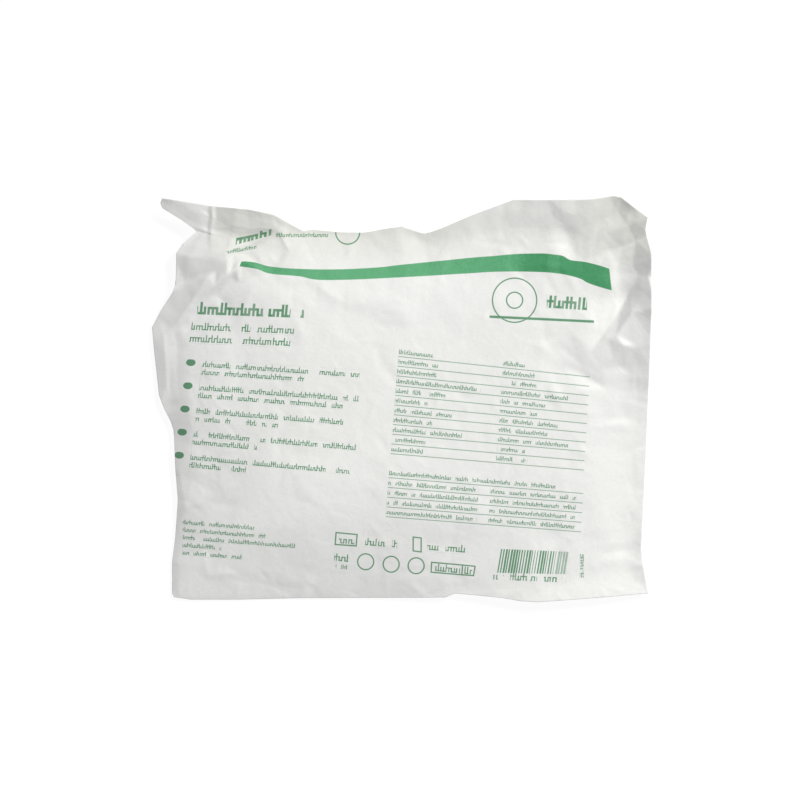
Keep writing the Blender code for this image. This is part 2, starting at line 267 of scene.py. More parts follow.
def crease_heights(creases, grid_u, grid_v):
    """The net through the creases and the level points"""
    number, edges = {}, []
    for chain in (*creases, *([point] for point in level_points(creases))):
        row = [number.setdefault(point, len(number)) for point in chain]
        edges += zip(row[:-1], row[1:])
    return net_heights(number, edges, grid_u, grid_v)


# %% [markdown]
# The large ones are read off the photograph one by one, region by region. Folds are
# soft, where the filled paper only bulges, and their net is smoothed over a few
# millimetres. Creases are sharp, where it was pinched.

# %% The large folds and creases
FOLDS = (
    # the top right corner stands up, with a gutter that runs into it from the collar
    ((385, 352, 1), (405, 345, 2.4), (435, 330, 3), (468, 318, 3.6), (510, 310, 7)),
    ((370, 390, 2), (405, 380, 4), (440, 372, 6), (475, 360, 7), (510, 350, 9.5)),
    ((390, 430, 5), (440, 430, 10), (510, 430, 19), (540, 400, 22), (540, 350, 18), (540, 300, 14),
     (540, 270, 9)),
    ((421, 366, 1.8), (420, 356, 1.2)),
    # valley between the right flange and the face
    ((478, 306, 0.6), (470, 288, 0.8)),
    # flap of the left flange, and the gutter between it and the face
    ((34, 262, 1.4), (36, 240, 3.2), (38, 200, 4), (42, 150, 3), (48, 118, 1)),
    ((60, 285, 0.6), (62, 250, 1.8), (63, 200, 2.4), (66, 150, 1.8), (70, 122, 0.6)),
    ((92, 275, 0.2), (92, 240, 0.6), (93, 200, 0.8), (95, 150, 0.5)),
    # the foot, fuller at the left and flatter at the right
    ((44, 80, 1), (90, 76, 2.2), (150, 74, 2), (205, 72, 0.8)),
    ((84, 130, 0.8), (120, 128, 1.8), (190, 126, 1.8), (235, 124, 0.8)),
    ((258, 86, 0.4), (290, 84, 1.4), (325, 84, 1.4), (355, 86, 0.4)),
    ((340, 56, 0.8), (380, 54, 1.8), (420, 54, 1.8), (450, 56, 0.8)),
    ((280, 24, 0.8), (340, 24, 2.2), (380, 22, 3.6), (420, 22, 3.6), (450, 24, 2)),
    ((270, -14, 1.6), (340, -14, 4), (400, -14, 6.4), (440, -12, 6), (485, -10, 3)),
    ((512, 92, 1), (514, 66, 6), (512, 36, 2.6)),
    # streaks on the face
    ((180, 305, 0), (198, 302, 0.6), (228, 297, 1), (254, 283, 1), (262, 270, 0)),
    ((185, 296, 0), (215, 290, -0.6), (245, 279, -0.7), (258, 265, 0)),
    ((218, 170, 0), (222, 150, 0.7), (226, 125, 0)),
    # the margin above the band, a little higher towards the head edge
    ((94, 404, 3), (120, 398, 4), (150, 390, 5), (190, 388, 4.6), (230, 390, 3.6), (280, 392, 2)),
    ((118, 353, 1), (150, 350, 2), (200, 350, 2), (250, 350, 1.4), (290, 350, 0.7)),
    ((130, 318, 0.4), (180, 316, 0.6), (230, 316, 0.4)),
    # puckers at the right edge
    ((441, 209, 0.3), (455, 210, 0.9), (475, 208, 0.8), (500, 204, 0)),
    ((470, 183, 0), (485, 182, 0.7), (500, 183, 0)),
    ((466, 150, 0), (482, 147, 0.7), (500, 146, 0)),
    ((460, 98, 0), (480, 97, 0.6), (498, 99, 0)),
    ((403, 64, 0), (415, 62, 0.8), (435, 60, 0.9), (453, 60, 0)),
)
CREASES = (
    # top right corner: a crest on the collar, and the shaded facet under the ear
    ((396, 404, 0), (410, 393, 1.5), (424, 386, 0.8), (437, 377, 0)),
    ((389, 398, 0), (402, 386, 0), (412, 379, 0)),
    ((455, 369, 1), (476, 376, 3.8), (495, 383, 7)),
    ((425, 420, 0), (452, 412, 1.4), (478, 410, 7.2), (510, 400, 18)),
    ((455, 369, 1), (454, 352, -1.4), (470, 355, -2.6), (484, 361, -2.6), (500, 368, -0.4)),
    ((446, 374, 0.4), (444, 352, -0.4)),
    ((423, 370, 0.2), (419, 358, -0.5), (418, 344, 0)),
    ((429, 371, 0.3), (428, 358, 0.3), (427, 345, 0)),
    ((448, 332, -1.2), (466, 330, -1.6), (481, 337, -0.6), (502, 343, 4)),
    # wall between the face and the raised right flange
    ((487, 328, -0.2), (480, 313, 0.6), (468, 291, 1.8), (454, 270, 2.6)),
    ((496, 326, 3), (491, 311, 5.2), (480, 290, 9.6), (465, 267, 8)),
    ((480, 290, 9.6), (504, 294, 13)),
    # kite below it: a facet that rises to the crest at its upper right
    ((412, 237, -1.4), (426, 244, -0.4), (440, 252, 1.8), (456, 265, 5.6), (465, 267, 8), (472, 258, 9.8),
     (486, 256, 8.4), (506, 258, 9)),
    ((472, 258, 9.8), (462, 245, 5), (450, 234, 1.4), (437, 226, -1.4), (412, 237, -1.4)),
    ((437, 226, -1.4), (429, 212, 0)),
    ((450, 234, 1.4), (476, 236, 3.4), (502, 233, 4.6)),
    ((455, 214, 0), (480, 212, 1), (502, 210, 1.6)),
    # light streaks at the foot of the collar
    ((290, 373, 0), (320, 375, 0.5), (345, 377, 0.4), (362, 374, 0)),
    # tongue at the top left: a rounded roll, a shaded tip, and the pinch at its root
    ((13, 401, -0.4), (24, 400, 1.2), (36, 397, 1.7), (50, 393, 1.6), (57, 391, 0.8)),
    ((59, 396, 0.9), (59.5, 386, 1.3), (57.5, 375, 1.2)),
    ((62, 396, 1.9), (62.5, 386, 2.6), (60.5, 375, 2.6)),
    ((65, 395, 0.9), (65.5, 384, 1.6)),
    # collar above the knot: a shaded facet, with the line where the print is folded under
    ((65.5, 384, 1.6), (79, 376, 3.4), (82, 366, 3), (79, 355, 2.6)),
    ((84, 377, 3.8), (101, 374, 3), (114, 375, 1.8)),
    ((79, 355, 2.6), (101, 360, 0.2), (127, 373, -0.2)),
    ((83, 349, 3), (103, 354, 1.9), (131, 368, 0.9)),
    # left shoulder: a light facet, a crest, and a shaded slope below it
    ((20, 350, -0.2), (38, 346, 2.2), (60, 347, 3), (76, 350, 3.6)),
    ((18, 317, -2), (36, 322, -0.8), (50, 327, 0.6), (66, 331, 2.4)),
    # the knot: thin bright crests, and a valley between them
    ((76, 350, 3.6), (78.5, 341, 4.4), (77.5, 333, 4.6), (72, 330, 3.8)),
    ((83, 349, 3), (82.5, 341, 2.8), (81.5, 333.5, 2.8)),
    ((97, 348, 1), (92, 342, 2.8), (86, 334, 4)),
    # slanting crests below the knot, and the gutter between them and the face
    ((22, 313, -0.4), (37, 319.5, 1.4), (49, 324.5, 2.4), (57, 326, 4)),
    ((57, 326, 4), (48, 312, 4), (39.5, 298, 3), (30, 286, 1.6), (20.5, 275, 0)),
    ((89, 338, 4), (77.5, 327.5, 4), (65.5, 317.5, 3.4), (49.5, 302.5, 2.4), (37, 288, 1.3),
     (27, 275, 0)),
    ((82, 324, 0.3), (71, 311, -0.4), (55, 294, -1), (42, 279, -1.1), (32, 266, -0.6)),
    ((90, 321, 0.2), (101, 312, 0.6), (117, 299, 0.2)),
    # left flap: its edge hangs down beside a long ridge
    ((8, 308, -3.4), (2, 290, -3.2), (-5, 265, -3), (-3, 238, -3), (1, 214, -2.4)),
    ((13, 268, 0.8), (14.5, 240, 1), (16, 214, 0.5)),
    ((26, 262, -0.5), (27, 240, -0.8), (28, 208, -0.4)),
    # steep wall of the lower left, and the ridge that starts from it
    ((23, 165, 0), (25, 152, 1), (28, 133, 2), (34.5, 97, 3.4), (31, 85, 2), (28, 73, 1.6),
     (27, 43, 1.6), (28, 5, 1.2)),
    ((34.5, 97, 3.4), (55, 100, 1.4), (78, 101, 0)),
    # puckers at the foot
    ((74, 29, 0), (100, 30, 0.3), (126, 30, 0.4), (141, 34, 0)),
    ((88, 22, 0), (112, 18, -0.3), (126, 16, -0.4), (141, 24, 0)),
    ((155, 18, 0), (162, 16, -0.4), (168, 18, 0)),
    ((368, 24, 0), (371, 12, 0.9), (374, 2, 0.4)),
)

# %% [markdown]
# Between them the sheet is covered with small crumples that follow no plan. Some are
# facets: three nets through scattered points with scattered heights, each finer and
# shallower than the one before. Others are short straight creases, sharp along the crest
# and soft to both sides. All are stronger near the edges, where the paper was handled.

# %% The small crumples
FACETS = ((40, 0.7), (15, 0.2), (8, 0.06))     # spacing of the points in grid steps, height in mm
STRAY = 0.45                         # how far a point strays from its place, in spacings
CREASE_COUNT = 1300
HALF_LENGTHS = 1.5, 3.4              # logarithm of half a crease in grid steps, least and most
FLANKS = 0.1, 0.4                    # width of a flank in half lengths, least and most
STEEPEST = 0.105                     # slope of the steepest flank, in mm for each grid step
SLOPES = 0.2, 1                      # of other flanks, in shares of it, least and most
REACH = 1.2                          # half lengths from its middle that hold all of a crease
STRENGTH = ((0, 30, 120), (0.9, 0.9, 0.6))     # grid steps from the edge, and strength there
CREASE_SEED, FACET_SEED = 11, 7


def facet_heights(grid_u, grid_v):
    """Sum of the scattered nets"""
    chance = np.random.default_rng(FACET_SEED)
    total = np.zeros_like(grid_u)
    for spacing, height in FACETS:
        u, v = np.meshgrid(np.arange(-spacing, GRID_WIDTH + 2 * spacing, spacing),
                           np.arange(-spacing, GRID_HEIGHT + 2 * spacing, spacing))
        u = (u + chance.uniform(-STRAY, STRAY, u.shape) * spacing).ravel()
        v = (v + chance.uniform(-STRAY, STRAY, v.shape) * spacing).ravel()
        z = chance.uniform(-height, height, u.shape)
        number = {point: index for index, point in enumerate(zip(u.tolist(), v.tolist(), z.tolist()))}
        total += net_heights(number, [], grid_u, grid_v)
    return total


def short_creases(grid_u, grid_v):
    """Sum of tents: height (1 - off / flank) (1 - (along / half)^2)^2, each flank of its own width"""
    chance = np.random.default_rng(CREASE_SEED)
    total = np.zeros_like(grid_u)
    for _ in range(CREASE_COUNT):
        u0, v0 = chance.uniform(0, GRID_WIDTH), chance.uniform(0, GRID_HEIGHT)
        turn, half = chance.uniform(0, math.pi), math.exp(chance.uniform(*HALF_LENGTHS))
        left, right = half * chance.uniform(*FLANKS, 2)
        height = chance.choice((-1, 1)) * chance.uniform(*SLOPES) * min(left, right) * STEEPEST
        near = np.nonzero(np.maximum(abs(grid_u - u0), abs(grid_v - v0)) < REACH * half)
        u, v = grid_u[near] - u0, grid_v[near] - v0
        along = u * math.cos(turn) + v * math.sin(turn)
        off = v * math.cos(turn) - u * math.sin(turn)
        tent = np.clip(1 - np.maximum(off / left, -off / right), 0, 1)
        total[near] += height * tent * np.clip(1 - (along / half) ** 2, 0, 1) ** 2
    return total * MM


def crumple_heights(grid_u, grid_v):
    """Facets and short creases, times a strength that grows towards the nearest edge"""
    inset = np.minimum(np.minimum(grid_u, GRID_WIDTH - grid_u), np.minimum(grid_v, GRID_HEIGHT - grid_v))
    return (facet_heights(grid_u, grid_v) + short_creases(grid_u, grid_v)) * np.interp(inset, *STRENGTH)


def blur(height, rounds):
    """Each inner point becomes half of itself and a quarter of its neighbours, each way in turn"""
    height = height.copy()
    for _ in range(rounds):
        for lines in (height, height.T):
            lines[1:-1] = (lines[:-2] + 2 * lines[1:-1] + lines[2:]) / 4
    return height


FOLD_SOFTNESS, CREASE_SOFTNESS = 24, 1      # rounds of blur


def sealed_heights(grid_u, grid_v, edge):
    """The sheet before it is filled: seam height, bent edge, folds, creases and crumples"""
    soft = blur(crease_heights(FOLDS, grid_u, grid_v), FOLD_SOFTNESS)
    sharp = crease_heights(CREASES, grid_u, grid_v) + crumple_heights(grid_u, grid_v)
    return SEAM_HEIGHT + edge + soft + blur(sharp, CREASE_SOFTNESS)


# %% [markdown]
# The skin is one closed mesh. The front web is a fine grid, the back web has a quarter of
# its lines each way because it is plain, and the rim between them is a ring of faces with
# four front edges to each back edge.

# %% The skin
ACROSS, UP = 336, 272
BACK_STEP = 4


def add_object(name, data):
    """A new object in the scene"""
    thing = bpy.data.objects.new(name, data)
    bpy.context.scene.collection.objects.link(thing)
    return thing


def web_surfaces():
    """Front and back places on the fine grid, after the part's own formulas"""
    across, up = crowd(np.linspace(0, 1, ACROSS + 1)), crowd(np.linspace(0, 1, UP + 1))
    x, y, edge = np.moveaxis(edge_surface(across, up), -1, 0)
    s, t = np.broadcast_to(across[:, None], x.shape), np.broadcast_to(up[None], x.shape)
    grid_u, grid_v = to_grid(x, y)
    lift = corner_lift(s, t)
    sealed = sealed_heights(grid_u, grid_v, edge) + lift
    front = sealed + blur((CONTENTS_RISE - lift) * mound(s, t), FOLD_SOFTNESS)
    back = np.maximum(0, sealed - SEALED_EDGE_THICKNESS - BACK_FALL * belly(s, t))
    return np.stack([x, y, front], axis=-1), np.stack([x, y, back], axis=-1)


def grid_faces(columns, rows, first, flip):
    """Corner numbers of a grid's quads, counted column by column"""
    corner = first + np.arange((columns + 1) * (rows + 1)).reshape(columns + 1, rows + 1)
    quads = np.stack([corner[:-1, :-1], corner[1:, :-1], corner[1:, 1:], corner[:-1, 1:]], axis=-1)
    quads = quads.reshape(-1, 4)
    return corner, quads[:, ::-1] if flip else quads


def ring(corner):
    """A grid's border, once round anticlockwise as seen from above"""
    return np.concatenate([corner[:-1, 0], corner[-1, :-1], corner[:0:-1, -1], corner[0, :0:-1]])


def build_skin():
    """Front grid, back grid and the rim's seven-sided faces in one mesh"""
    front, back = web_surfaces()
    back = back[::BACK_STEP, ::BACK_STEP]
    front_corner, front_quads = grid_faces(ACROSS, UP, 0, False)
    back_corner, back_quads = grid_faces(ACROSS // BACK_STEP, UP // BACK_STEP, front_corner.size, True)
    upper, lower = ring(front_corner), ring(back_corner)
    between = [upper[step::BACK_STEP] for step in range(BACK_STEP)]
    ahead = [np.roll(corners, -1) for corners in (lower, between[0])]
    rim = np.stack([between[0], lower, *ahead, *between[:0:-1]], axis=1)
    mesh = bpy.data.meshes.new("pouch_paper")
    faces = [*front_quads.tolist(), *back_quads.tolist(), *rim.tolist()]
    mesh.from_pydata([*front.reshape(-1, 3).tolist(), *back.reshape(-1, 3).tolist()], [], faces)
    counts = [len(front_quads), len(back_quads), len(rim)]
    mesh.polygons.foreach_set("material_index", np.repeat([0, 1, 1], counts))
    mesh.polygons.foreach_set("use_smooth", np.ones(len(faces), bool))
    mesh.update()
    triangles = int(np.dot(counts, [2, 2, BACK_STEP + 1]))
    print("skin:", len(mesh.vertices), "corners,", triangles, "triangles, top at",
          round(front[..., 2].max() / MM, 1), "mm, lowest", round(back[..., 2].min() / MM, 2), "mm")
    return add_object("pouch_paper", mesh)


pouch = build_skin()
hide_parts("sealed_pouch")
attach(pouch, "root")

# %% [markdown]
# The print is drawn by the material's own nodes over the drawing grid, so it stays sharp
# at any size. Two UV maps go on the skin: one carries each corner's grid place to the
# nodes, and one lays the back web out below the front web for baking. A Field
# stands for a number at each point of the paper, and adding or multiplying two of them
# makes the Math node that does it, so that the arithmetic below reads as arithmetic.

# %% Grid places and arithmetic for the nodes
PRINT_MAP, BAKE_MAP = "print_grid", "OFBake"
BACK_SHARE, BACK_GAP = 0.2, 0.01     # of the bake map's height
SOFT = 0.5                           # width of an ink edge, in grid steps


def add_maps(mesh):
    """Print map: grid place / grid width. Bake map: the same, squeezed, the back under the front"""
    place = np.empty(3 * len(mesh.vertices))
    mesh.vertices.foreach_get("co", place)
    corner = np.empty(len(mesh.loops), int)
    mesh.loops.foreach_get("vertex_index", corner)
    finish = np.empty(len(mesh.polygons), int)
    mesh.polygons.foreach_get("material_index", finish)
    sides = np.empty(len(mesh.polygons), int)
    mesh.polygons.foreach_get("loop_total", sides)
    on_back = np.repeat(finish, sides) == 1
    x, y, _ = place.reshape(-1, 3)[corner].T
    grid_u, grid_v = to_grid(x, y)
    share_up = grid_v / GRID_HEIGHT
    laid_up = np.where(on_back, share_up * (BACK_SHARE - BACK_GAP),
                       BACK_SHARE + share_up * (1 - BACK_SHARE))
    for name, u, v in ((PRINT_MAP, grid_u, grid_v), (BAKE_MAP, grid_u, laid_up * GRID_WIDTH)):
        layer = mesh.uv_layers.new(name=name)
        layer.uv.foreach_set("vector", np.stack([u, v], axis=1).ravel() / GRID_WIDTH)


class Field:
    """A number at each point of the paper, given by the output of a node in the tree in work"""
    tree = None

    def __init__(self, socket):
        self.socket = socket

    def __add__(self, other):
        return math_node("ADD", self, other)

    def __sub__(self, other):
        return math_node("SUBTRACT", self, other)

    def __rsub__(self, other):
        return math_node("SUBTRACT", other, self)

    def __mul__(self, other):
        return math_node("MULTIPLY", self, other)

    def __truediv__(self, other):
        return math_node("DIVIDE", self, other)

    def __abs__(self):
        return math_node("ABSOLUTE", self)

    __radd__, __rmul__ = __add__, __mul__


def plug(socket, value):
    """Link a field to a socket, or set a plain value on it"""
    if isinstance(value, Field):
        Field.tree.links.new(value.socket, socket)
    else:
        socket.default_value = value


def set_inputs(node, inputs):
    """Plug values and fields into inputs, each given by its number or name"""
    for key, value in inputs.items():
        plug(node.inputs[key], value)


def new_node(kind, inputs, **settings):
    """A shader node with its settings and its inputs"""
    node = Field.tree.nodes.new("ShaderNode" + kind)
    for name, value in settings.items():
        setattr(node, name, value)
    set_inputs(node, inputs)
    return node


def math_node(operation, *values, clamp=False):
    """One Math node"""
    node = new_node("Math", dict(enumerate(values)), operation=operation, use_clamp=clamp)
    return Field(node.outputs[0])


def over(field, limit, soft=SOFT):
    """0 under the limit and 1 over it: (field - limit) / soft + 1/2, clamped"""
    if isinstance(limit, Field):
        return math_node("MULTIPLY_ADD", field - limit, 1 / soft, 0.5, clamp=True)
    return math_node("MULTIPLY_ADD", field, 1 / soft, 0.5 - limit / soft, clamp=True)


def within(field, low, high, soft=SOFT):
    """1 between two limits: (half width - distance from the middle) / soft + 1/2, clamped"""
    distance = abs(field - (low + high) / 2)
    return math_node("MULTIPLY_ADD", distance, -1 / soft, (high - low) / 2 / soft + 0.5, clamp=True)


def strongest(masks):
    """The largest of some masks"""
    total, *rest = masks
    for mask in rest:
        total = math_node("MAXIMUM", total, mask)
    return total


def scatter(a, b):
    """Three random numbers from two whole ones"""
    pair = new_node("CombineXYZ", {0: a, 1: b})
    chance = new_node("TexWhiteNoise", {"Vector": Field(pair.outputs[0])}, noise_dimensions="2D")
    parts = new_node("SeparateColor", {0: Field(chance.outputs["Color"])})
    return [Field(output) for output in parts.outputs]


def curve_of(field, points):
    """Height of a smooth curve through points, over a field that runs along it"""
    x, y = np.array(points, float).T
    node = new_node("FloatCurve", {"Value": (field - x[0]) / (x[-1] - x[0])})
    curve = node.mapping.curves[0]
    low, high = y.min(), y.max()
    share = np.stack([(x - x[0]) / (x[-1] - x[0]), (y - low) / (high - low)], axis=1)
    while len(curve.points) < len(points):
        curve.points.new(0.5, 0.5)
    for point, place in zip(curve.points, share.tolist()):
        point.location = place
    node.mapping.update()
    return Field(node.outputs[0]) * (high - low) + low


def grid_place():
    """The point's place on the drawing grid"""
    source = new_node("UVMap", {}, uv_map=PRINT_MAP)
    parts = new_node("SeparateXYZ", {0: Field(source.outputs[0])})
    return Field(parts.outputs[0]) * GRID_WIDTH, Field(parts.outputs[1]) * GRID_WIDTH


# %% [markdown]
# A block of print is a four-sided patch of the grid, because the mound bends its rows
# apart. It is given by its four corners, and every place in it by two shares: how far
# across it lies and how far down.

# %% Patches of the grid
class Patch:
    """Corners in grid steps: upper left, upper right, lower left, lower right"""

    def __init__(self, place, *corners):
        (x0, y0), (x1, y1), (x2, y2), (x3, y3) = corners
        u, v = place
        upper, lower = (y1 - y0) / (x1 - x0), (y3 - y2) / (x3 - x2)
        upper_edge = math_node("MULTIPLY_ADD", u, upper, y0 - upper * x0)
        lower_edge = math_node("MULTIPLY_ADD", u, lower, y2 - lower * x2)
        self.down = (upper_edge - v) / (upper_edge - lower_edge)
        left_edge = math_node("MULTIPLY_ADD", self.down, x2 - x0, x0)
        width = math_node("MULTIPLY_ADD", self.down, (x3 - x2) - (x1 - x0), x1 - x0)
        self.across = (u - left_edge) / width
        self.width = (x1 - x0 + x3 - x2) / 2
        self.height = (y0 - y2 + y1 - y3) / 2

    def rows(self, count):
        """Row number, and the height over the row's middle in grid steps"""
        depth = self.down * count
        row = math_node("FLOOR", depth)
        return row, (row + 0.5 - depth) * (self.height / count)

    def rules(self, count, weight):
        """A thin line along the foot of each row"""
        depth = self.down * count
        distance = abs(depth - math_node("ROUND", depth)) * (self.height / count)
        line = over(weight / 2, distance)
        return line * within(depth, 0.6, count + 0.4, 0.1) * within(self.across, 0, 1, 0.004)

    def frame(self, weight):
        """A box's outline along the patch's own four sides"""
        beyond = math_node("MAXIMUM", (abs(self.across - 0.5) - 0.5) * self.width,
                           (abs(self.down - 0.5) - 0.5) * self.height)
        return within(beyond, -weight / 2, weight / 2)


def row_ends(row, ends):
    """How far each row reaches across: steps of a colour ramp"""
    ramp = new_node("ValToRGB", {0: math_node("MULTIPLY_ADD", row, 1 / len(ends), 0.5 / len(ends))})
    ramp.color_ramp.interpolation = "CONSTANT"
    stops = ramp.color_ramp.elements
    while len(stops) < len(ends):
        stops.new(1.0)
    for index, end in enumerate(ends):
        stops[index].position = index / len(ends)
        stops[index].color = (end, end, end, 1)
    return Field(ramp.outputs[0])


# %% [markdown]
# Text is only hinted at, as it looks from a step away: rows of short upright strokes,
# some taller, joined here and there at the head or the foot, with gaps between groups.
# They spell nothing. Blocks of one letter size are gathered first, and stroked together.

# %% Rows of strokes that stand for text
ROW_SLANT = 0.096                    # the print lies turned by about 5.5 degrees
MOST_ROWS = 40                       # in a block
GAP_SEED, BAR_SEED = 0.25, 0.5       # added to a row's seed
ROW_REACH = 0.7                      # over and under a row's middle, in letter heights
LOW_TOP, TALL_TOP, LETTER_FOOT = 0.14, 0.5, -0.5     # over the row's middle, in letter heights
LOW_STROKES = 0.7                    # share of the strokes
STROKE_PLACE, STROKE_SHIFT = 0.4, 0.2          # in its cell
HEAD_BARS, FOOT_BARS = 0.52, 0.48    # a bar is at the head over the first, at the foot under the second
GAP_CELLS, GAP_SHARE = 0.4, 0.14     # for each stroke, and how many of them are left out
PALEST, INK_SPREAD = 0.8, 0.2        # ink of the palest stroke, and what others have on top


class Text:
    """Greeked text of one size: letter height, stroke pitch and stroke weight in grid steps"""

    def __init__(self, place, height, pitch, weight):
        self.place, self.height, self.pitch, self.weight = place, height, pitch, weight
        self.area, self.level, self.seed, self.blocks = 0.0, 0.0, 0.0, 0

    def add(self, patch, count, *columns):
        """Rows of a patch. A column is where its rows start across, and where each one ends"""
        row, height = patch.rows(count)
        area = over(patch.down, 0, 0.01) * over(1, patch.down, 0.01)
        spans = 0.0
        for start, *ends in columns:
            end = row_ends(row, ends) if len(ends) > 1 else ends[0]
            soft = SOFT / patch.width
            spans = spans + over(patch.across, start, soft) * over(end - patch.across, 0, soft)
        area = area * spans * over(self.height * ROW_REACH, abs(height))
        self.area = self.area + area
        self.level = self.level + area * height
        self.seed = self.seed + area * (row + MOST_ROWS * self.blocks)
        self.blocks += 1

    def ink(self):
        """Upright strokes a pitch apart, with short bars from one to the next

        A stroke is low or tall, and all stand on one line. A bar lies at either end of the
        low strokes, or nowhere. Two or three steps together are left out, as the gaps
        between words.
        """
        u, v = self.place
        along = (u - v * ROW_SLANT) * (1 / self.pitch)
        seed = math_node("ROUND", self.seed)
        cell = math_node("FLOOR", along)
        shift, rise, shade = scatter(cell, seed)
        gap, _, _ = scatter(math_node("FLOOR", along * GAP_CELLS), seed + GAP_SEED)
        off_centre = abs(along - cell - STROKE_PLACE - shift * STROKE_SHIFT) * self.pitch
        stroke = over(self.weight / 2, off_centre)
        low_top, foot = LOW_TOP * self.height, LETTER_FOOT * self.height
        tall = math_node("GREATER_THAN", rise, LOW_STROKES)
        top = tall * ((TALL_TOP - LOW_TOP) * self.height) + low_top
        upright = over(top, self.level) * over(self.level, foot)
        end, _, _ = scatter(math_node("FLOOR", along - 0.5), seed + BAR_SEED)
        head_bar = within(self.level, low_top - self.weight, low_top) * over(end, HEAD_BARS, 0.01)
        foot_bar = within(self.level, foot, foot + self.weight) * over(FOOT_BARS, end, 0.01)
        shape = math_node("MAXIMUM", stroke * upright, math_node("MAXIMUM", head_bar, foot_bar))
        ink = shape * (shade * INK_SPREAD + PALEST)
        return ink * math_node("GREATER_THAN", gap, GAP_SHARE) * self.area


# %% [markdown]
# Where each block of print lies, read off the photograph on the drawing grid. Each is a
# patch's four corners, its number of rows and its columns, in which rows start and end
# at shares of the patch. The blocks are gathered by the size of their letters.

# %% The blocks of text
NAMES = ((52.5, 243.1), (212.5, 232.5), (37.5, 126.8), (197.5, 112))
NAME_ENDS = (0.985, 0.645, 0, 1, 0.905, 0, 0.92, 0.52, 0, 1.02, 0.41, 0, 1, 0.355, 0)
FEATURES = ((248.8, 256.2), (439.6, 235.3), (240.5, 149.5), (433.5, 133))
FEATURE_ENDS = ((0, 0.18, 0.21, 0.205, 0.44, 0.26, 0.17, 0.3, 0.2, 0.36, 0.175, 0.165),
                (0.545, 0.66, 0.715, 0.725, 0.895, 0.78, 0.74, 0.85, 0.8, 0.91, 0.69, 0.705))
SERIES = ((239.3, 135.3), (433.5, 119.1), (235.5, 86.5), (431, 71))
SERIES_ENDS = ((0, 0.855, 0.465, 0.465, 0.465, 0.465), (0.523, 0, 0.965, 0.965, 0.965, 0.965))
WHOLE = (0, 1)
LARGE_BLOCKS = (
    (((47, 301.5), (154, 297.7), (47, 288.7), (154, 284.7)), 1, (0, 0.62), (0.665, 1)),
    (((396, 308.5), (436, 306), (396, 294), (436, 291.5)), 1, WHOLE),
    (((78, 366), (122, 374), (78, 356), (122, 368)), 1, WHOLE),
)
MEDIUM_BLOCKS = (
    (((42, 283), (145, 279.2), (38.5, 259.2), (141.5, 254.6)), 2, (0, 0.39, 0.42), (0.49, 1, 0.98)),
    (((186, 69.2), (315, 59.5), (186, 58.2), (315, 48.5)), 1, (0.023, 0.14), (0.194, 0.473), (0.705, 1)),
    (((184, 51), (325, 36.5), (184, 41), (325, 26.5)), 1, (0, 0.1), (0.716, 0.894), (0.922, 0.979)),
    (((343, 31.5), (416, 28.5), (343, 22.5), (416, 19.5)), 1,
     (0, 0.07), (0.137, 0.466), (0.507, 0.877), (0.945, 1)),
)
BODY_BLOCKS = ((NAMES, 15, (0, *NAME_ENDS)),)
SMALL_BLOCKS = (
    (((32, 84.8), (145, 76.3), (31.5, 46.6), (145, 38)), 5, (0, 0.64, 0.74, 1, 0.345, 0.53)),
    (FEATURES, 11, *FEATURE_ENDS),
    (SERIES, 5, *SERIES_ENDS),
    (((77, 353), (111, 359.5), (77, 349), (111, 355)), 1, WHOLE),
    (((126, 370.5), (178, 371), (126, 365.5), (178, 366)), 1, WHOLE),
    (((185, 39), (197, 38), (185, 34), (197, 33)), 1, WHOLE),
    (((430, 49), (434, 49), (430, 25), (434, 25)), 9, WHOLE),
)
SIZES = (                            # letter height, pitch and weight in grid steps, share of ink
    ((12.5, 4.1, 2.5), LARGE_BLOCKS, 0.93),
    ((7.5, 2.7, 1.15), MEDIUM_BLOCKS, 1),
    ((5.6, 2.1, 0.95), BODY_BLOCKS, 1),
    ((4.4, 1.7, 0.85), SMALL_BLOCKS, 0.93),
)
RULE_WEIGHT, RULE_INK = 0.8, 0.75


def printed_text(place):
    """All greeked text, with the thin rules of both tables"""
    inks = []
    for size, blocks, share in SIZES:
        text = Text(place, *size)
        for corners, count, *columns in blocks:
            text.add(Patch(place, *corners), count, *columns)
        inks.append(text.ink() * share)
    for corners, count in ((FEATURES, 11), (SERIES, 5)):
        inks.append(Patch(place, *corners).rules(count, RULE_WEIGHT) * RULE_INK)
    return strongest(inks)


# %% [markdown]
# Between the text stand plain marks: filled ovals before the paragraphs, rings, boxes,
# a straight rule, and bars of random widths, which encode nothing.

# %% The marks and the bars
PARAGRAPH = 3                        # rows, the last one empty
OVAL_PLACE, OVAL_HALF = (-0.072, 0.14), (4.8, 3.6)     # share across, share down a paragraph; in steps
RINGS = (((364, 302.5), 22), ((364, 302.5), 8), ((215.5, 41), 8), ((241, 38.5), 8), ((266, 37), 8))
CUT_RING, CUT_RING_TOP = ((197.5, 371), 12), 371
BOXES = (((186, 70.5), (207, 68.5), (185, 58.5), (206, 57)), ((263, 66), (271, 65), (263, 52), (271, 51)),
         ((281.5, 40.5), (312.5, 37.7), (281, 30.5), (311.8, 27.9)),
         ((312.5, 37.7), (325, 36.5), (311.8, 27.9), (323.5, 27)))
LINE_WEIGHT = 1.3
STRAIGHT_RULE = ((339, 287.4), (443, 282.4), (339, 284.9), (443, 279.9))
BARS = ((351, 54), (419, 51), (347, 30), (415.5, 28.5))
BAR_COUNT, BAR_CHANCE = 26, 3
BAR_THINNEST, BAR_SPREAD = 0.25, 0.6           # of a bar's cell
FADED_FROM, FADED_SOFT, FADED_BY = 0.8, 0.1, 0.35      # the last bars, across the patch


def ring_line(place, centre, radius):
    """1 where the distance from the centre is within half a line's weight of the radius"""
    u, v = place
    x, y = u - centre[0], v - centre[1]
    distance = math_node("SQRT", x * x + y * y)
    return within(distance, radius - LINE_WEIGHT / 2, radius + LINE_WEIGHT / 2)


